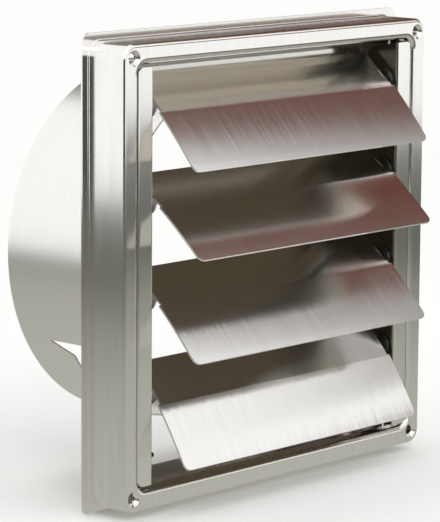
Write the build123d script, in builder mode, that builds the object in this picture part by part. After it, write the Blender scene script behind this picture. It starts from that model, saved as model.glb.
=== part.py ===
from build123d import *
import math
import os

# Backdraft vent grille: a pressed steel cover with four free-swinging flaps and a round duct spigot.
# Origin at the centre of the wall plane, on the spigot axis. Front faces -Y, spigot runs to +Y, +Z is up.

# Sheet metal
sheet = 0.8
bend_inner = 0.8
bend_outer = bend_inner + sheet

# Cover: body, rear rim, front opening and screw dimples
rim_size = 190.0
rim_width = 3.25
rim_corner = 4.0
cover_depth = 20.0
body_corner = 6.0
border = 8.2
opening_corner = 4.6
lip_depth = 6.0
lip_roll = 2.3
screw_inset = 5.55
screw_hole = 3.8
dimple_width = 6.4
dimple_depth = 1.3

# Side brackets that carry the flaps, set inside the opening
bracket_flange = 9.05
bracket_set_back = 0.7
bracket_end_gap = 1.25
bracket_corner = 3.6
bracket_return = 5.0
wall_top_fall = 2.6
wall_rear_corner = 6.0
rear_flange = 10.0
rear_flange_step = 9.0

# Rails across the back of the casing
top_rail_height = 14.3
top_rail_rise = 0.95
top_rail_roof = 8.0
top_rail_bend = 4.0
bottom_rail_height = 10.4
bottom_rail_foot = 11.0
rail_end_gap = 0.25

# Duct spigot: a rolled tube with its lower front part cut away and two weld tabs
duct_outside = 148.0
spigot_reach = 63.0
spigot_front_gap = 3.0
tab_height = 28.0
tab_edge_gap = 1.0
cutout_angle = 28.0
cutout_reach = 37.0
notch_reach = 47.7
notch_angle = 33.0

# Flaps: one bent sheet each, four in a column, with an ear turned back at each end of the upper strip
flap_count = 4
first_pivot_drop = 17.55
last_pivot_rise = 35.55
pivot_set_back = 8.3
flap_end_gap = 3.0
plate_offset = 5.1
bend_drop = 6.9
edge_rise = 3.1
strip_length = 20.4
strip_lean = 8.0
strip_end_step = 1.4
strip_foot = 0.6
flap_bend_radius = 4.0
plate_bow = 0.6
flap_lower_corner = 3.0
flap_upper_corner = 1.0
ear_radius = 4.2
ear_base = 7.0
rest_angles = (41.0, 48.8, 43.0, 31.8)

# Pivots: a steel pin on each flap ear, turning in a black bush in the bracket wall
pin_width = 4.0
pin_head_width = 6.4
pin_head = 1.0
collar_width = 5.6
collar_play = 0.4
pin_clearance = 0.05
pin_end_gap = 0.2
bush_flange_width = 10.8
bush_flange = 1.6
bush_flange_round = 1.3
bush_wall = 1.2
bush_seat_clearance = 0.05
bush_snap = 0.5
bush_tail = 1.4

# Stop pegs that the lowest flap closes against
peg_width = 2.0
peg_reach = 4.2
peg_rise = 11.2
peg_head_width = 3.6
peg_head = 1.2
peg_clearance = 0.05
stop_gap = 0.3

# Worked out from the values above
body_size = rim_size - 2 * rim_width
inside_half = body_size / 2 - sheet
opening_size = body_size - 2 * border
opening_half = opening_size / 2
screw_spacing = body_size - 2 * screw_inset
countersink_angle = 2 * math.degrees(math.atan2(dimple_width - screw_hole, 2 * dimple_depth))
front_y = -cover_depth
flange_y = front_y + bracket_set_back
rear_flange_y = -sheet
wall_rear_y = rear_flange_y - bend_outer
wall_half = opening_half - bracket_flange
wall_outside = wall_half + sheet
bracket_half_height = opening_half - bracket_end_gap
rear_flange_top = bracket_half_height - rear_flange_step
rear_flange_end = wall_outside + rear_flange
rail_top = opening_half + top_rail_rise
rail_half = inside_half - rail_end_gap
pivot_y = front_y + pivot_set_back
flap_pitch = (opening_size - first_pivot_drop - last_pivot_rise) / (flap_count - 1)
pivot_heights = [opening_half - first_pivot_drop - row * flap_pitch for row in range(flap_count)]
flap_half_width = wall_half - flap_end_gap
ear_outside = flap_half_width - strip_end_step
ear_inside = ear_outside - sheet
plate_length = flap_pitch - bend_drop - edge_rise
plate_middle = -bend_drop - plate_length / 2
plate_bow_radius = 0.9 * (plate_length / 2) ** 2 / plate_bow
lean = math.radians(strip_lean)
strip_middle = plate_offset * math.cos(lean) - bend_drop * math.sin(lean) - sheet / 2
ear_foot = Location((-strip_middle * math.cos(lean), strip_middle * math.sin(lean), 0), (0, 0, -strip_lean))
pin_radius = pin_width / 2
bore_radius = pin_radius + pin_clearance
barrel_radius = bore_radius + bush_wall
bush_end = wall_outside + bush_tail
peg_radius = peg_width / 2
peg_y = pivot_y - plate_offset + sheet + stop_gap + peg_radius
peg_z = pivot_heights[-1] - bend_drop - plate_length + peg_rise
duct_radius = duct_outside / 2
duct_inside = duct_radius - sheet
cutout_z = -duct_radius * math.sin(math.radians(cutout_angle))
notch_z = -duct_radius * math.sin(math.radians(notch_angle))

os.makedirs("parts", exist_ok=True)


def at_depth(y):
    """Upright plane across the vent at depth y, seen from the front, so extruding back is negative."""
    return Plane.XZ.offset(-y)


def along_pivot(x, y, z):
    """Plane across a pivot axis at x, with its origin on the axis."""
    return Plane(origin=(x, y, z), x_dir=(0, 1, 0), z_dir=(1, 0, 0))


def across_sheet(edge):
    """True for a corner edge that only crosses the thickness of the sheet."""
    return edge.length < 2 * sheet


def save(piece, name):
    """Label a finished piece and write it to its own file."""
    piece.label = name
    export_step(piece, f"parts/{name}.step")


# Cover: a box with a rounded front, open at the back, with a rim turned out along the wall
with BuildPart() as cover:
    with BuildSketch(at_depth(front_y)):
        RectangleRounded(body_size, body_size, body_corner)
    extrude(amount=-cover_depth)
    fillet(cover.faces().sort_by(Axis.Y)[0].edges(), bend_outer)
    with BuildSketch(at_depth(-sheet)):
        RectangleRounded(rim_size, rim_size, rim_corner)
    extrude(amount=-sheet)
    rim_front = cover.faces().filter_by(Axis.Y).sort_by(Axis.Y)[1]
    fillet(rim_front.inner_wires()[0].edges(), bend_inner)

    # Hollow inside, with rounded bends at the front plate and at the rim
    with BuildSketch(at_depth(front_y + sheet)):
        RectangleRounded(body_size - 2 * sheet, body_size - 2 * sheet, body_corner - sheet)
    extrude(amount=-cover_depth, mode=Mode.SUBTRACT)
    rear_face = cover.faces().filter_by(Axis.Y).sort_by(Axis.Y)[-1]
    fillet(rear_face.inner_wires()[0].edges(), bend_outer)
    plate_inside = cover.faces().filter_by(Axis.Y).sort_by(Axis.Y)[1]
    fillet(plate_inside.outer_wire().edges(), bend_inner)

    # Front opening with its edge rolled inwards as a lip
    with BuildSketch(at_depth(front_y + sheet)):
        RectangleRounded(opening_size + 2 * sheet, opening_size + 2 * sheet, opening_corner + sheet)
    extrude(amount=-(lip_depth - sheet))
    with BuildSketch(at_depth(front_y)):
        RectangleRounded(opening_size, opening_size, opening_corner)
    extrude(amount=-lip_depth, mode=Mode.SUBTRACT)
    plate_inside = cover.faces().filter_by(Axis.Y).sort_by(Axis.Y)[1]
    fillet(plate_inside.inner_wires()[0].edges(), lip_roll - sheet)
    front_face = cover.faces().filter_by(Axis.Y).sort_by(Axis.Y)[0]
    fillet(front_face.inner_wires()[0].edges(), lip_roll)

    # Dimpled screw holes in the four corners
    with BuildSketch(at_depth(front_y + sheet)):
        with GridLocations(screw_spacing, screw_spacing, 2, 2):
            Circle(dimple_width / 2)
    extrude(amount=-dimple_depth, taper=countersink_angle / 4)
    with Locations(at_depth(front_y)):
        with GridLocations(screw_spacing, screw_spacing, 2, 2):
            CounterSinkHole(screw_hole / 2, dimple_width / 2, lip_depth, countersink_angle)
save(cover.part, "cover")


def bracket(side):
    """Folded channel: return leg along the cover's lip, front flange, wall with bush holes, rear flange."""
    with BuildPart() as channel:
        with BuildSketch(Plane.XY.offset(-bracket_half_height)):
            with BuildLine():
                FilletPolyline(
                    (side * opening_half, flange_y + bracket_return),
                    (side * opening_half, flange_y),
                    (side * wall_half, flange_y),
                    (side * wall_half, rear_flange_y),
                    (side * rear_flange_end, rear_flange_y),
                    radius=bend_outer,
                )
                offset(amount=sheet, side=Side.RIGHT if side > 0 else Side.LEFT)
            make_face()
        extrude(amount=2 * bracket_half_height)

        # Side outline: the wall's top falls to a rounded upper rear corner, the rear flange ends lower
        with BuildSketch(Plane.YZ) as outline:
            with BuildLine():
                Polyline(
                    (front_y, -bracket_half_height),
                    (rear_flange_y, -bracket_half_height),
                    (rear_flange_y, rear_flange_top),
                    (wall_rear_y, rear_flange_top),
                    (wall_rear_y, bracket_half_height - wall_top_fall),
                    (front_y, bracket_half_height),
                    close=True,
                )
            make_face()
            fillet(outline.vertices().sort_by(Axis.Y)[-2], wall_rear_corner)
        extrude(amount=side * rear_flange_end, mode=Mode.INTERSECT)

        # Rounded outer corners of the flange
        with BuildSketch(at_depth(front_y)):
            with Locations((side * (opening_half - bracket_corner / 2), 0)):
                Rectangle(bracket_corner, 2 * bracket_half_height)
            with Locations((side * wall_half, 0)):
                RectangleRounded(
                    2 * bracket_flange, 2 * bracket_half_height, bracket_corner, mode=Mode.SUBTRACT
                )
        extrude(amount=-cover_depth, mode=Mode.SUBTRACT)

        # Holes for the bushes and the stop peg
        with BuildSketch(Plane.YZ.offset(side * wall_half)):
            with Locations([(pivot_y, z) for z in pivot_heights]):
                Circle(barrel_radius + bush_seat_clearance)
            with Locations((peg_y, peg_z)):
                Circle(peg_radius + peg_clearance)
        extrude(amount=side * sheet, mode=Mode.SUBTRACT)
    return channel.part


for name, side in (("left_bracket", -1), ("right_bracket", 1)):
    save(bracket(side), name)

# Top rail: upright strip lapped on the brackets' rear flanges, its top rounded forwards into a narrow roof
with BuildPart() as top_rail:
    with BuildSketch(Plane.YZ.offset(-rail_half)):
        with BuildLine():
            FilletPolyline(
                (0, rail_top - top_rail_height),
                (0, rail_top),
                (-top_rail_roof, rail_top),
                radius=top_rail_bend + sheet,
            )
            offset(amount=sheet, side=Side.LEFT)
        make_face()
    extrude(amount=2 * rail_half)
save(top_rail.part, "top_rail")

# Bottom rail: an angle on the floor of the cover, lapped behind the lower ends of the rear flanges
with BuildPart() as bottom_rail:
    with BuildSketch(Plane.YZ.offset(-rail_half)):
        with BuildLine():
            FilletPolyline(
                (0, bottom_rail_height - inside_half),
                (0, -inside_half),
                (-bottom_rail_foot, -inside_half),
                radius=bend_outer,
            )
            offset(amount=sheet, side=Side.RIGHT)
        make_face()
    extrude(amount=2 * rail_half)

    # Lower corners rounded to stand clear of the cover's corners
    with BuildSketch(at_depth(0)):
        RectangleRounded(2 * rail_half, 2 * inside_half, body_corner - sheet)
    extrude(amount=bottom_rail_foot, mode=Mode.INTERSECT)
save(bottom_rail.part, "bottom_rail")

# Spigot: rolled tube with two tabs turned out at the sides, flat behind the rear flanges of the brackets
with BuildPart() as spigot:
    with BuildSketch(at_depth(-sheet)):
        Circle(duct_radius)
    extrude(amount=-(cutout_reach + sheet))
    with BuildSketch(at_depth(-sheet)):
        Rectangle(2 * (rear_flange_end - tab_edge_gap), tab_height)
    extrude(amount=-sheet)
    with BuildSketch(at_depth(-sheet)):
        Circle(duct_inside)
    extrude(amount=-(cutout_reach + sheet), mode=Mode.SUBTRACT)

    # The front edge stands back from the rails, apart from the tabs, and the lower front part is cut away
    with BuildSketch(Plane.YZ):
        with Locations((spigot_front_gap, 0)):
            Rectangle(spigot_front_gap + sheet, 2 * duct_outside, align=(Align.MAX, Align.CENTER))
            Rectangle(2 * duct_outside, tab_height, mode=Mode.SUBTRACT)
        with Locations((-sheet, cutout_z)):
            Rectangle(cutout_reach + sheet, duct_outside, align=(Align.MIN, Align.MAX))
    extrude(amount=duct_outside, both=True, mode=Mode.SUBTRACT)

    # The rear end is a whole ring, with a pointed notch at each upper corner of the cut
    with BuildSketch(at_depth(cutout_reach)):
        Circle(duct_radius)
        Circle(duct_inside, mode=Mode.SUBTRACT)
    extrude(amount=cutout_reach - spigot_reach, clean=False)
    with BuildSketch(Plane.YZ):
        with BuildLine():
            Polyline((cutout_reach, cutout_z), (notch_reach, cutout_z), (cutout_reach, notch_z), close=True)
        make_face()
    extrude(amount=duct_outside, both=True, mode=Mode.SUBTRACT, clean=False)
save(spigot.part, "spigot")


def flap(row):
    """Bent and slightly bowed sheet, drawn closed about its pivot in a plane turned to its rest angle."""
    angle = math.radians(rest_angles[row])
    origin = (0, pivot_y, pivot_heights[row])
    turned = Plane(origin=origin, x_dir=(0, math.cos(angle), -math.sin(angle)), z_dir=(1, 0, 0))
    with BuildPart() as blade:
        with BuildSketch(turned):
            with BuildLine():
                FilletPolyline(
                    (-plate_offset, -bend_drop - plate_length),
                    (-plate_offset - plate_bow, plate_middle),
                    (-plate_offset, -bend_drop),
                    (
                        -plate_offset + strip_length * math.sin(lean),
                        -bend_drop + strip_length * math.cos(lean),
                    ),
                    radius=(plate_bow_radius, flap_bend_radius),
                )
                offset(amount=sheet, side=Side.RIGHT)
            make_face()
        extrude(amount=flap_half_width, both=True)

        # The strip is a little narrower than the plate, from just above the bend
        for side in (-1, 1):
            with BuildSketch(turned.offset(side * ear_outside)):
                with Locations((0, strip_foot - bend_drop)):
                    Rectangle(2 * strip_length, 2 * strip_length, align=(Align.CENTER, Align.MIN))
            extrude(amount=side * strip_end_step, mode=Mode.SUBTRACT)
        fillet(blade.edges().filter_by(across_sheet).group_by(Axis.Z)[0], flap_lower_corner)
        fillet(blade.edges().filter_by(across_sheet).group_by(Axis.Z)[-1], flap_upper_corner)

        # Ears turned back at both ends, with the pin holes
        for side in (-1, 1):
            with BuildSketch(turned.offset(side * ear_inside)):
                Circle(ear_radius)
                with Locations(ear_foot):
                    Rectangle(sheet, ear_base)
                make_hull()
            extrude(amount=side * sheet)
        with BuildSketch(turned):
            Circle(bore_radius)
        extrude(amount=flap_half_width, both=True, mode=Mode.SUBTRACT)
    return blade.part


def pivot_pin(row, side):
    """Turned pin: head inside the ear, collar outside it, shank through the bush."""
    y = pivot_y
    z = pivot_heights[row]
    collar_end = wall_half - bush_flange - collar_play
    with BuildPart() as pin:
        with BuildSketch(along_pivot(side * (ear_inside - pin_head), y, z)):
            Circle(pin_head_width / 2)
        extrude(amount=side * pin_head)
        with BuildSketch(along_pivot(side * ear_inside, y, z)):
            Circle(pin_radius)
        extrude(amount=side * (bush_end - pin_end_gap - ear_inside))
        with BuildSketch(along_pivot(side * ear_outside, y, z)):
            Circle(collar_width / 2)
        extrude(amount=side * (collar_end - ear_outside))
    return pin.part


def bush(row, side):
    """Flanged bush snapped into the bracket wall from the inside, turned about the pivot axis."""
    z = pivot_heights[row]
    plan = Plane(origin=(0, pivot_y, z), x_dir=(side, 0, 0), z_dir=(0, 0, side))
    with BuildPart() as ring:
        with BuildSketch(plan) as section:
            with BuildLine():
                Polyline(
                    (wall_half - bush_flange, bore_radius),
                    (wall_half - bush_flange, bush_flange_width / 2),
                    (wall_half, bush_flange_width / 2),
                    (wall_half, barrel_radius),
                    (wall_outside, barrel_radius),
                    (wall_outside, barrel_radius + bush_snap),
                    (bush_end, barrel_radius),
                    (bush_end, bore_radius),
                    close=True,
                )
            make_face()
            fillet(section.vertices().group_by(Axis.X)[0].sort_by(Axis.Y)[-1], bush_flange_round)
        revolve(axis=Axis((0, pivot_y, z), (1, 0, 0)))
    return ring.part


def stop_peg(side):
    """Round peg pushed through the bracket wall from outside until its head seats."""
    with BuildPart() as peg:
        with BuildSketch(along_pivot(side * (wall_half - peg_reach), peg_y, peg_z)):
            Circle(peg_radius)
        extrude(amount=side * (peg_reach + sheet))
        with BuildSketch(along_pivot(side * wall_outside, peg_y, peg_z)):
            Circle(peg_head_width / 2)
        extrude(amount=side * peg_head)
    return peg.part


for row in range(flap_count):
    save(flap(row), f"flap_{row + 1}")
    for side_name, side in (("left", -1), ("right", 1)):
        save(pivot_pin(row, side), f"pivot_pin_{row + 1}_{side_name}")
        save(bush(row, side), f"bush_{row + 1}_{side_name}")

for side_name, side in (("left", -1), ("right", 1)):
    save(stop_peg(side), f"stop_peg_{side_name}")
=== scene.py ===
"""Backdraft vent grille in satin stainless steel: finishes for every piece, and a plain studio stage.

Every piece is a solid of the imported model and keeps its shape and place. Lengths are in metres.
"""

import math

import bpy
import numpy as np
from mathutils import Matrix, Vector


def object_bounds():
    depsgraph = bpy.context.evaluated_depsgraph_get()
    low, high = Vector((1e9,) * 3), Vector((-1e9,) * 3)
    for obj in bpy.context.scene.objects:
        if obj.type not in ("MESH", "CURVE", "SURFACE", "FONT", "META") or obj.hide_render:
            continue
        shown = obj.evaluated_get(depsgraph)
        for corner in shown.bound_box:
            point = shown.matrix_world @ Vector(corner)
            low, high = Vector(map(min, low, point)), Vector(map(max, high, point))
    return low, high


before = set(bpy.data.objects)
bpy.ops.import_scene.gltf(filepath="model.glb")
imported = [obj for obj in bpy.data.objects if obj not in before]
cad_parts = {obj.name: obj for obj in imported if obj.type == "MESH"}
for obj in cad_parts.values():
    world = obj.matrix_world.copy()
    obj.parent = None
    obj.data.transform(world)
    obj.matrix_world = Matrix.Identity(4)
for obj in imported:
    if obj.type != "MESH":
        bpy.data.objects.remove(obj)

bl_info = {
    "name": "Backdraft Vent Grille",
    "version": (1, 0, 0),
    "blender": (4, 5, 0),
    "location": "View3D > Sidebar > Vent",
    "description": "Finishes the pieces of a wall vent with swinging flaps and sets its studio stage",
    "category": "Object",
}

CAD_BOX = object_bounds()
FLOOR_Z = CAD_BOX[0][2]
FLAP_ROWS = (1, 2, 3, 4)
SIDES = ("left", "right")
MM = 0.001

# The photograph's frame in pixels, and the width of the camera's sensor
IMAGE_WIDTH = 440
IMAGE_HEIGHT = 522
SENSOR_MM = 36.0

# Directions on the vent: into the wall, across it and up it
INWARD = (0, 1, 0)
SIDEWAYS = (1, 0, 0)
UPWARD = (0, 0, 1)

# Brushed steel: its pattern is a mix of fine lines and broad streaks that runs from 0 to 1
STREAK_SHARE = 0.06  # streaks in the mix, the rest is lines
WORN_AT = 0.35  # mix at and below which the tone is the worn colour
BARE_AT = 0.62  # mix at and above which the tone is the bare colour
GLOSS_SPAN = (0.3, 0.7)  # mix over which the roughness changes
GLOSS_SWING = 0.02  # change of roughness to either side
LINE_RELIEF = 0.12  # strength of the lines' relief
SQUARE_SPAN = (0.6, 0.95)  # share of X in a normal over which a face comes to count as square to X
PULL_NUDGE = (0.01, 0.004, 0.006)  # gives a direction to faces that the lines stand upright on

# Moulded nylon
SPECKLE_SWING = 0.1  # change of roughness to either side
SPECKLE_RELIEF = 0.1  # strength of the speckle's relief
SPECKLE_DEPTH = 0.03 * MM
NYLON_IOR = 1.53

# Floor
MOTTLE_SIZE = 0.125
FLOOR_ROUGHNESS = (0.85, 0.95)
FLOOR_SPECULAR = 0.1

# Table top that only reflections show, painted in greys as painted shade over a pale table: its tone at each distance
# from the vent, as metres and sRGB hex
TABLE_RINGS = (
    (0.1, "b4b4ac"), (0.28, "a8a8a0"), (0.45, "92928a"), (0.62, "67675f"), (0.85, "656560"), (1.3, "80807a"))
TABLE_CENTRE = (0.12, -0.11)
TABLE_RADIUS = 1.09
TABLE_LIFT = 0.001  # height over the floor

# Cards that only reflections show, for the grey and brown tones that the bright sheet mirrors:
# name, centre, direction it faces, width, height, sRGB hex
FORWARD = (0, -1, 0)
BACK_TO_VENT = (-0.73, 0.66, -0.1)
CARDS = (
    # Overhead, to the right
    ("brown card", (0.6, 0.03, 0.38), (0.019, 0.159, -0.987), 1.0, 0.4, "643f37"),
    ("grey card", (0.65, -0.226, 0.4), (0.05, 0.152, -0.987), 1.0, 0.12, "9a9896"),
    ("roof card", (0.55, 0.38, 0.42), (0, 0.16, -0.987), 1.0, 0.34, "5c594c"),
    ("slant card", (0.79, -0.267, 0.36), (0.103, -0.122, -0.987), 0.3, 0.4, "5e554d"),
    # Inside the casing, in the thickness of the rear flanges: painted shade, a dark sheet standing in for the shade of
    # the duct
    ("duct shade card", (0, -0.0012, 0), FORWARD, 0.165, 0.165, "4a4135"),
    # Behind the vent, to the right
    ("olive card", (0.2, 0.3, 0.22), FORWARD, 0.3, 0.4, "767669"),
    ("red card", (0.55, 0.3, 0.22), FORWARD, 0.4, 0.4, "684c48"),
    # In front, to the right
    ("front olive card", (0.521, -0.67, 0.2125), BACK_TO_VENT, 0.3, 0.115, "4e4e42"),
    ("front red card", (0.719, -0.45, 0.2125), BACK_TO_VENT, 0.3, 0.115, "43302a"),
    ("khaki card", (0.62, -0.56, 0.11), BACK_TO_VENT, 0.6, 0.09, "a8997a"),
    # In front, to the left, where the camera stands
    ("lens card", (-0.72, -0.64, 0.03), (0.73, 0.66, 0), 0.9, 0.25, "2e2d22"),
)


def linear(code):
    """sRGB hex to linear RGBA: c / 12.92 up to 0.04045, ((c + 0.055) / 1.055) ** 2.4 above."""
    c = np.array([int(code[i:i + 2], 16) for i in (0, 2, 4)]) / 255.0
    c = np.where(c <= 0.04045, c / 12.92, ((c + 0.055) / 1.055) ** 2.4)
    return (*c.tolist(), 1.0)


class VentSteel(bpy.types.PropertyGroup):
    """Satin stainless sheet: its colours, its gloss and the size of its brushing."""

    colour: bpy.props.FloatVectorProperty(
        name="Colour", description="Colour of the bare sheet",
        default=linear("faf9f6"), size=4, min=0.0, max=1.0, subtype="COLOR")
    worn: bpy.props.FloatVectorProperty(
        name="Worn colour", description="Colour of the dull streaks",
        default=linear("f6f4f1"), size=4, min=0.0, max=1.0, subtype="COLOR")
    # Painted shade: a darker colour for the brackets' walls, standing in for the shade inside the casing
    painted_shade: bpy.props.FloatVectorProperty(
        name="Painted shade colour", description="Colour of the dull film inside the brackets",
        default=linear("6e6d60"), size=4, min=0.0, max=1.0, subtype="COLOR")
    roughness: bpy.props.FloatProperty(
        name="Roughness", description="Roughness of the satin face",
        default=0.16, min=0.0, max=1.0, subtype="FACTOR")
    rolled: bpy.props.FloatProperty(
        name="Rolled roughness", description="Roughness of the rolled tube",
        default=0.3, min=0.0, max=1.0, subtype="FACTOR")
    edge: bpy.props.FloatProperty(
        name="Edge roughness", description="Roughness of the flaps' sheared ends",
        default=0.6, min=0.0, max=1.0, subtype="FACTOR")
    pull: bpy.props.FloatProperty(
        name="Pull", description="How far the brushing draws out a reflection across its lines",
        default=0.85, min=0.0, max=1.0, subtype="FACTOR")
    rolled_pull: bpy.props.FloatProperty(
        name="Rolled pull", description="How far a rolled or turned face draws out a reflection",
        default=0.2, min=0.0, max=1.0, subtype="FACTOR")
    lean: bpy.props.FloatProperty(
        name="Lean", description="How far a brushed line tips along its length, as a slope",
        default=0.04, min=0.0)
    # Real brushed lines are under 0.1 mm wide, too fine to show, so they are drawn several times as wide
    grain: bpy.props.FloatProperty(
        name="Line width", description="Width of one brushed line",
        default=0.4 * MM, unit="LENGTH")
    reach: bpy.props.FloatProperty(
        name="Line length", description="Length of one brushed line",
        default=45 * MM, unit="LENGTH")
    depth: bpy.props.FloatProperty(
        name="Line depth", description="Depth of one brushed line",
        default=0.02 * MM, unit="LENGTH")
    streak: bpy.props.FloatProperty(
        name="Streak width", description="Width of the broad dull streaks",
        default=6 * MM, unit="LENGTH")


class VentPlastic(bpy.types.PropertyGroup):
    """Black moulded plastic of the bushes and the stop pegs."""

    colour: bpy.props.FloatVectorProperty(
        name="Colour", description="Colour of the plastic",
        default=linear("191a19"), size=4, min=0.0, max=1.0, subtype="COLOR")
    roughness: bpy.props.FloatProperty(
        name="Roughness", description="Roughness of the moulded face",
        default=0.22, min=0.0, max=1.0, subtype="FACTOR")
    # A mould leaves a texture of a few hundredths of a millimetre, too fine to show, so it is drawn coarser
    speckle: bpy.props.FloatProperty(
        name="Speckle", description="Size of the moulded texture",
        default=0.5 * MM, unit="LENGTH")


class VentStage(bpy.types.PropertyGroup):
    """Floor, light and camera round the vent."""

    floor: bpy.props.FloatVectorProperty(
        name="Floor colour", description="Colour of the floor",
        default=linear("fdfdfc"), size=4, min=0.0, max=1.0, subtype="COLOR")
    floor_size: bpy.props.FloatProperty(
        name="Floor size", description="Side of the floor",
        default=6.0, unit="LENGTH")
    fill: bpy.props.FloatProperty(
        name="Fill light", description="Strength of the light from all round",
        default=1.0, min=0.0)
    key: bpy.props.FloatProperty(
        name="Key light", description="Power of the soft lamp",
        default=3.0, min=0.0, unit="POWER")
    key_size: bpy.props.FloatProperty(
        name="Key size", description="Side of the soft lamp",
        default=0.35, unit="LENGTH")
    key_place: bpy.props.FloatVectorProperty(
        name="Key place", description="Place of the soft lamp, which faces the vent",
        default=(-0.9, -1.1, 1.3), subtype="TRANSLATION", unit="LENGTH")
    azimuth: bpy.props.FloatProperty(
        name="Azimuth", description="Camera's turn about the vent, from straight in front",
        default=math.radians(-47.761), subtype="ANGLE")
    elevation: bpy.props.FloatProperty(
        name="Elevation", description="Camera's height angle",
        default=math.radians(9.347), subtype="ANGLE")
    roll: bpy.props.FloatProperty(
        name="Roll", description="Camera's turn about its own line of sight",
        default=math.radians(0.377), subtype="ANGLE")
    distance: bpy.props.FloatProperty(
        name="Distance", description="Camera's distance from the wall plane's centre",
        default=1.2218, unit="LENGTH")
    pan: bpy.props.FloatProperty(
        name="Pan", description="Camera's offset to its right",
        default=-0.010092, unit="LENGTH")
    rise: bpy.props.FloatProperty(
        name="Rise", description="Camera's offset upwards",
        default=-0.004322, unit="LENGTH")
    focal_px: bpy.props.FloatProperty(
        name="Focal length", description="Focal length in pixels of the photograph",
        default=2972.96, min=1.0, subtype="PIXEL")


def add(tree, kind, links=None, sockets=None, **settings):
    """Adds one node with its settings, its sockets' values and its links.

    A link comes from another node's output, or from a node, which stands for its first output.
    """
    node = tree.nodes.new(kind)
    for name, value in settings.items():
        setattr(node, name, value)
    for name, value in (sockets or {}).items():
        node.inputs[name].default_value = value
    for name, source in (links or {}).items():
        output = source.outputs[0] if isinstance(source, bpy.types.Node) else source
        tree.links.new(output, node.inputs[name])
    return node


def empty_material(name):
    """A material with a node tree that holds nothing yet."""
    material = bpy.data.materials.new(name)
    material.use_nodes = True
    material.node_tree.nodes.clear()
    return material


def brushed_pattern(tree, place, steel, across):
    """Fine lines, and their mix with broad streaks: noise stretched to a width over the lines and a length along them.

    across holds how fast the pattern changes along X, Y and Z: 1 runs over the lines, 0 along them.
    """
    over = np.array(across)
    fine = over / steel.grain + (1 - over) / steel.reach
    broad = over / steel.streak + (1 - over) / (2 * steel.reach)
    line_place = add(tree, "ShaderNodeMapping", {"Vector": place.outputs["Object"]}, {"Scale": fine.tolist()})
    streak_place = add(tree, "ShaderNodeMapping", {"Vector": place.outputs["Object"]}, {"Scale": broad.tolist()})
    lines = add(tree, "ShaderNodeTexNoise", {"Vector": line_place}, {"Scale": 1.0, "Detail": 3.0, "Roughness": 0.6})
    streaks = add(tree, "ShaderNodeTexNoise", {"Vector": streak_place}, {"Scale": 1.0, "Detail": 2.0, "Roughness": 0.5})
    mixed = add(tree, "ShaderNodeMix", {"A": lines, "B": streaks}, {"Factor": STREAK_SHARE})
    return lines, mixed


def tipped_normal(tree, normal, lines, along, lean):
    """Normal tipped along the lines, each line by a slope of its own from -lean to lean."""
    slope = add(tree, "ShaderNodeMapRange", {"Value": lines}, {"To Min": -lean, "To Max": lean})
    tip = add(tree, "ShaderNodeVectorMath", {"Scale": slope}, {0: along}, operation="SCALE")
    tipped = add(tree, "ShaderNodeVectorMath", {0: normal, 1: tip}, operation="ADD")
    return add(tree, "ShaderNodeVectorMath", {0: tipped}, operation="NORMALIZE")


def square_to_x(tree, place):
    """1 on faces square to X and 0 on the rest, from the piece's own normal, so that it stays when a flap swings."""
    parts = add(tree, "ShaderNodeSeparateXYZ", {0: place.outputs["Normal"]})
    size = add(tree, "ShaderNodeMath", {0: parts.outputs["X"]}, operation="ABSOLUTE")
    start, end = SQUARE_SPAN
    return add(tree, "ShaderNodeMapRange", {"Value": size}, {"From Min": start, "From Max": end})


def drawn_out(tree, along, axis):
    """Direction that reflections are drawn out in: along x normal, so across the lines.

    On a rolled or turned piece the lines go round its axis, so along is normal x axis.
    """
    normal = add(tree, "ShaderNodeNewGeometry").outputs["Normal"]
    if axis:
        ring = add(tree, "ShaderNodeVectorMath", {0: normal}, {1: axis}, operation="CROSS_PRODUCT")
        drawn = add(tree, "ShaderNodeVectorMath", {0: ring, 1: normal}, operation="CROSS_PRODUCT")
    else:
        drawn = add(tree, "ShaderNodeVectorMath", {1: normal}, {0: along}, operation="CROSS_PRODUCT")
    return add(tree, "ShaderNodeVectorMath", {0: drawn}, {1: PULL_NUDGE}, operation="ADD")


def brushed_steel(name, steel, across, roughness, along=UPWARD, axis=None, lean=0.0, painted_shade=None, edge=None):
    """Stainless sheet brushed in one direction: a bright satin that draws reflections out across its lines.

    The lines show faintly in tone, gloss and relief, with broad duller streaks among them. Where lean tips them,
    they break up the border of a reflection. On faces square to X, the shade colour, when given, is painted shade
    that darkens them, and edge is the roughness of a sheared edge.
    """
    material = empty_material(name)
    tree = material.node_tree
    place = add(tree, "ShaderNodeTexCoord")
    lines, mixed = brushed_pattern(tree, place, steel, across)

    colour = add(tree, "ShaderNodeValToRGB", {"Fac": mixed})
    worn, bare = colour.color_ramp.elements
    worn.position, worn.color = WORN_AT, steel.worn
    bare.position, bare.color = BARE_AT, steel.colour

    start, end = GLOSS_SPAN
    finish = add(tree, "ShaderNodeMapRange", {"Value": mixed},
                 {"From Min": start, "From Max": end,
                  "To Min": roughness + GLOSS_SWING, "To Max": roughness - GLOSS_SWING})

    normal = add(tree, "ShaderNodeBump", {"Height": lines}, {"Strength": LINE_RELIEF, "Distance": steel.depth})
    if lean:
        normal = tipped_normal(tree, normal, lines, along, lean)

    # Painted shade: faces square to X take the darker shade colour
    if painted_shade is not None:
        share = square_to_x(tree, place)
        colour = add(tree, "ShaderNodeMixRGB", {"Fac": share, "Color1": colour}, {"Color2": painted_shade})
    if edge is not None:
        share = square_to_x(tree, place)
        finish = add(tree, "ShaderNodeMapRange", {"Value": share, "To Min": finish}, {"To Max": edge})

    shader = add(tree, "ShaderNodeBsdfPrincipled",
                 {"Base Color": colour, "Roughness": finish, "Normal": normal,
                  "Tangent": drawn_out(tree, along, axis)},
                 {"Metallic": 1.0, "Anisotropic": steel.rolled_pull if axis else steel.pull})
    add(tree, "ShaderNodeOutputMaterial", {"Surface": shader})
    return material


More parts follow.
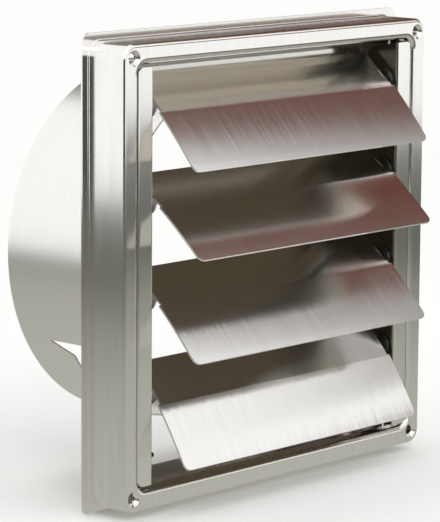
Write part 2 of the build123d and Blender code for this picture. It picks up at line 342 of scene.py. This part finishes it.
def moulded_plastic(name, plastic):
    """Black nylon straight from the mould: dark, half glossy, with a fine speckle in the gloss."""
    material = empty_material(name)
    tree = material.node_tree
    place = add(tree, "ShaderNodeTexCoord")
    speckle = add(tree, "ShaderNodeTexNoise", {"Vector": place.outputs["Object"]},
                  {"Scale": 1.0 / plastic.speckle, "Detail": 2.0})
    gloss = add(tree, "ShaderNodeMapRange", {"Value": speckle},
                {"To Min": plastic.roughness - SPECKLE_SWING, "To Max": plastic.roughness + SPECKLE_SWING})
    relief = add(tree, "ShaderNodeBump", {"Height": speckle},
                 {"Strength": SPECKLE_RELIEF, "Distance": SPECKLE_DEPTH})
    shader = add(tree, "ShaderNodeBsdfPrincipled", {"Roughness": gloss, "Normal": relief},
                 {"Base Color": plastic.colour, "Metallic": 0.0, "IOR": NYLON_IOR})
    add(tree, "ShaderNodeOutputMaterial", {"Surface": shader})
    return material


def dress(node, material):
    """Gives a node's object one material in place of those it came with. A name that isn't a node's is an error."""
    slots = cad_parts[node].data.materials
    slots.clear()
    slots.append(material)


class VENT_OT_cover(bpy.types.Operator):
    """Finish the pressed cover"""

    bl_idname = "vent.cover"
    bl_label = "Cover"

    def execute(self, context):
        steel = context.scene.vent_steel
        # Brushed up and down, so that its sides and rounded edges mirror in tall soft bands
        dress("cover", brushed_steel("satin stainless cover", steel, (1, 0.1, 0), steel.roughness))
        return {"FINISHED"}


class VENT_OT_brackets(bpy.types.Operator):
    """Finish the two side brackets and the two rails"""

    bl_idname = "vent.brackets"
    bl_label = "Brackets and rails"

    def execute(self, context):
        steel = context.scene.vent_steel
        # Brushed along their length, with painted shade on the brackets' walls: their faces square to X are coloured
        # darker than the front, for the shade inside the casing
        upright = brushed_steel("satin stainless bracket", steel, (1, 1, 0), steel.roughness, painted_shade=steel.painted_shade)
        level = brushed_steel("satin stainless rail", steel, (0, 1, 1), steel.roughness, along=SIDEWAYS)
        for side in SIDES:
            dress(f"{side}_bracket", upright)
        dress("top_rail", level)
        dress("bottom_rail", level)
        return {"FINISHED"}


class VENT_OT_spigot(bpy.types.Operator):
    """Finish the rolled spigot"""

    bl_idname = "vent.spigot"
    bl_label = "Spigot"

    def execute(self, context):
        steel = context.scene.vent_steel
        # Duller than the cover, with faint lines round the tube from the rolling
        dress("spigot", brushed_steel("rolled stainless spigot", steel, (0, 1, 0), steel.rolled, axis=INWARD))
        return {"FINISHED"}


class VENT_OT_flaps(bpy.types.Operator):
    """Finish the four flaps"""

    bl_idname = "vent.flaps"
    bl_label = "Flaps"

    def execute(self, context):
        steel = context.scene.vent_steel
        # Brushed from hinge to lip, plainest where one tone gives way to the next, with rough sheared ends
        material = brushed_steel("brushed stainless flap", steel, (1, 0, 0), steel.roughness,
                                 lean=steel.lean, edge=steel.edge)
        for row in FLAP_ROWS:
            dress(f"flap_{row}", material)
        return {"FINISHED"}


class VENT_OT_pins(bpy.types.Operator):
    """Finish the pivot pins"""

    bl_idname = "vent.pins"
    bl_label = "Pivot pins"

    def execute(self, context):
        steel = context.scene.vent_steel
        # Bright, with fine rings from the turning
        material = brushed_steel("turned stainless pin", steel, (1, 0, 0), steel.roughness, axis=SIDEWAYS)
        for row in FLAP_ROWS:
            for side in SIDES:
                dress(f"pivot_pin_{row}_{side}", material)
        return {"FINISHED"}


class VENT_OT_bushes(bpy.types.Operator):
    """Finish the bushes and the stop pegs"""

    bl_idname = "vent.bushes"
    bl_label = "Bushes and stop pegs"

    def execute(self, context):
        material = moulded_plastic("black nylon", context.scene.vent_plastic)
        for side in SIDES:
            dress(f"stop_peg_{side}", material)
            for row in FLAP_ROWS:
                dress(f"bush_{row}_{side}", material)
        return {"FINISHED"}


def stage_sheet(name, corners, material):
    """Flat face of the stage through its corners, in order round it."""
    mesh = bpy.data.meshes.new(name)
    mesh.from_pydata(corners, [], [tuple(range(len(corners)))])
    mesh.materials.append(material)
    sheet = bpy.data.objects.new(name, mesh)
    bpy.context.collection.objects.link(sheet)
    return sheet


def flat_card(name, centre, normal, width, height, material):
    """Rectangle: centre + across * u * width + up * v * height, with u and v from -0.5 to 0.5.

    across is level, and along X where the card itself is level.
    """
    facing = Vector(normal).normalized()
    level = abs(facing.z) > 0.99
    across = Vector(SIDEWAYS) if level else Vector(UPWARD).cross(facing).normalized()
    up = facing.cross(across)
    corners = [Vector(centre) + across * (u * width) + up * (v * height)
               for u, v in ((-0.5, -0.5), (0.5, -0.5), (0.5, 0.5), (-0.5, 0.5))]
    return stage_sheet(name, corners, material)


def round_card(name, centre, normal, radius, material, count=96):
    """Disc: centre + radius * (a * cos t + b * sin t), with a and b square to its normal and t once round."""
    a = Vector(normal).orthogonal().normalized()
    b = Vector(normal).normalized().cross(a)
    t = np.linspace(0, 2 * math.pi, count, endpoint=False)[:, None]
    corners = np.array(centre) + radius * (np.cos(t) * np.array(a) + np.sin(t) * np.array(b))
    return stage_sheet(name, corners.tolist(), material)


def only_in_reflections(card):
    """Hides a card from everything but mirror-like rays."""
    card.visible_camera = False
    card.visible_diffuse = False
    card.visible_shadow = False
    card.visible_transmission = False


def floor_material(colour):
    """Pale matt floor with a faint mottle, white to the camera but for the object's shadow."""
    material = empty_material("pale matt floor")
    tree = material.node_tree
    place = add(tree, "ShaderNodeTexCoord")
    mottle = add(tree, "ShaderNodeTexNoise", {"Vector": place.outputs["Object"]}, {"Scale": 1.0 / MOTTLE_SIZE})
    smooth, rough = FLOOR_ROUGHNESS
    gloss = add(tree, "ShaderNodeMapRange", {"Value": mottle}, {"To Min": smooth, "To Max": rough})
    shader = add(tree, "ShaderNodeBsdfPrincipled", {"Roughness": gloss},
                 {"Base Color": colour, "Specular IOR Level": FLOOR_SPECULAR})
    add(tree, "ShaderNodeOutputMaterial", {"Surface": shader})
    return material


def card_material(name, code):
    """Even card that shows its own colour on its face and is clear from behind."""
    material = empty_material(name)
    tree = material.node_tree
    facing = add(tree, "ShaderNodeNewGeometry")
    glow = add(tree, "ShaderNodeEmission", sockets={"Color": linear(code), "Strength": 1.0})
    clear = add(tree, "ShaderNodeBsdfTransparent")
    card = add(tree, "ShaderNodeMixShader", {0: facing.outputs["Backfacing"], 1: glow, 2: clear})
    add(tree, "ShaderNodeOutputMaterial", {"Surface": card})
    return material


def table_material(rings):
    """Table top whose tone, painted shade, changes with the distance from the vent, given as (metres, sRGB hex) rings.
    """
    material = empty_material("table card")
    tree = material.node_tree
    place = add(tree, "ShaderNodeTexCoord")
    away = add(tree, "ShaderNodeVectorMath", {0: place.outputs["Object"]}, operation="LENGTH")
    reach = rings[-1][0]
    part = add(tree, "ShaderNodeMath", {0: away.outputs["Value"]}, {1: reach}, operation="DIVIDE")
    tone = add(tree, "ShaderNodeValToRGB", {"Fac": part})
    steps = tone.color_ramp.elements
    while len(steps) < len(rings):
        steps.new(0.5)
    for step, (metres, code) in zip(steps, rings):
        step.position = metres / reach
        step.color = linear(code)
    glow = add(tree, "ShaderNodeEmission", {"Color": tone}, {"Strength": 1.0})
    add(tree, "ShaderNodeOutputMaterial", {"Surface": glow})
    return material


def studio_world(fill):
    """White to the camera, in reflections and through glass, with a fill of the given strength for the rest."""
    world = bpy.data.worlds.new("studio white")
    world.use_nodes = True
    tree = world.node_tree
    tree.nodes.clear()
    rays = add(tree, "ShaderNodeLightPath").outputs
    seen = add(tree, "ShaderNodeMath", {0: rays["Is Camera Ray"], 1: rays["Is Glossy Ray"]}, operation="MAXIMUM")
    seen = add(tree, "ShaderNodeMath", {0: seen, 1: rays["Is Transmission Ray"]}, operation="MAXIMUM")
    level = add(tree, "ShaderNodeMapRange", {"Value": seen}, {"To Min": fill, "To Max": 1.0})
    light = add(tree, "ShaderNodeBackground", {"Strength": level}, {"Color": (1, 1, 1, 1)})
    add(tree, "ShaderNodeOutputWorld", {"Surface": light})
    return world


def soft_lamp(name, place, target, size, power):
    """Square area lamp at a place, facing a target."""
    lamp = bpy.data.lights.new(name, "AREA")
    lamp.size = size
    lamp.energy = power
    holder = bpy.data.objects.new(name, lamp)
    aim = Vector(target) - Vector(place)
    holder.matrix_world = Matrix.Translation(place) @ aim.to_track_quat("-Z", "Y").to_matrix().to_4x4()
    bpy.context.collection.objects.link(holder)


def photo_camera(stage):
    """Camera at the photograph's angle: back along its line of sight, then aside and up, then rolled."""
    camera = bpy.data.cameras.new("camera")
    camera.sensor_width = SENSOR_MM
    camera.lens = stage.focal_px * SENSOR_MM / max(IMAGE_WIDTH, IMAGE_HEIGHT)
    a, e, r = stage.azimuth, stage.elevation, stage.roll
    back = Vector((math.sin(a) * math.cos(e), -math.cos(a) * math.cos(e), math.sin(e)))
    right = Vector((math.cos(a), math.sin(a), 0))
    up = back.cross(right)
    place = back * stage.distance + right * stage.pan + up * stage.rise
    rolled_right = right * math.cos(r) + up * math.sin(r)
    rolled_up = up * math.cos(r) - right * math.sin(r)
    turn = Matrix((rolled_right, rolled_up, back)).transposed().to_4x4()
    holder = bpy.data.objects.new("camera", camera)
    holder.matrix_world = Matrix.Translation(place) @ turn
    bpy.context.collection.objects.link(holder)
    return holder


class VENT_OT_stage(bpy.types.Operator):
    """Set the floor, the light and the camera"""

    bl_idname = "vent.stage"
    bl_label = "Stage"

    def execute(self, context):
        scene = context.scene
        stage = scene.vent_stage
        flat_card("floor", (0, 0, FLOOR_Z), UPWARD, stage.floor_size, stage.floor_size, floor_material(stage.floor))
        scene.world = studio_world(stage.fill)
        soft_lamp("key lamp", stage.key_place, (0, 0, 0), stage.key_size, stage.key)

        table_place = (*TABLE_CENTRE, FLOOR_Z + TABLE_LIFT)
        only_in_reflections(
            round_card("table card", table_place, UPWARD, TABLE_RADIUS, table_material(TABLE_RINGS)))
        for name, centre, normal, width, height, code in CARDS:
            only_in_reflections(flat_card(name, centre, normal, width, height, card_material(name, code)))

        scene.camera = photo_camera(stage)
        scene.view_settings.view_transform = "Standard"
        return {"FINISHED"}


SETTINGS = (("vent_steel", VentSteel), ("vent_plastic", VentPlastic), ("vent_stage", VentStage))
OPERATORS = (
    VENT_OT_cover,
    VENT_OT_brackets,
    VENT_OT_spigot,
    VENT_OT_flaps,
    VENT_OT_pins,
    VENT_OT_bushes,
    VENT_OT_stage,
)


class VENT_PT_panel(bpy.types.Panel):
    """Lists the vent's settings and pieces in the sidebar"""

    bl_idname = "VENT_PT_panel"
    bl_label = "Vent"
    bl_space_type = "VIEW_3D"
    bl_region_type = "UI"
    bl_category = "Vent"

    def draw(self, context):
        for name, group in SETTINGS:
            box = self.layout.box()
            for setting in group.__annotations__:
                box.prop(getattr(context.scene, name), setting)
        for operator in OPERATORS:
            self.layout.operator(operator.bl_idname)


def register():
    """Registers the settings, the operators and the panel."""
    for name, group in SETTINGS:
        bpy.utils.register_class(group)
        setattr(bpy.types.Scene, name, bpy.props.PointerProperty(type=group))
    for kind in (*OPERATORS, VENT_PT_panel):
        bpy.utils.register_class(kind)


def unregister():
    """Takes the panel, the operators and the settings out again."""
    for kind in (VENT_PT_panel, *reversed(OPERATORS)):
        bpy.utils.unregister_class(kind)
    for name, group in reversed(SETTINGS):
        delattr(bpy.types.Scene, name)
        bpy.utils.unregister_class(group)


def main():
    """Finishes every piece and sets the stage."""
    register()
    bpy.ops.vent.cover()
    bpy.ops.vent.brackets()
    bpy.ops.vent.spigot()
    bpy.ops.vent.flaps()
    bpy.ops.vent.pins()
    bpy.ops.vent.bushes()
    bpy.ops.vent.stage()


if __name__ == "__main__":
    main()
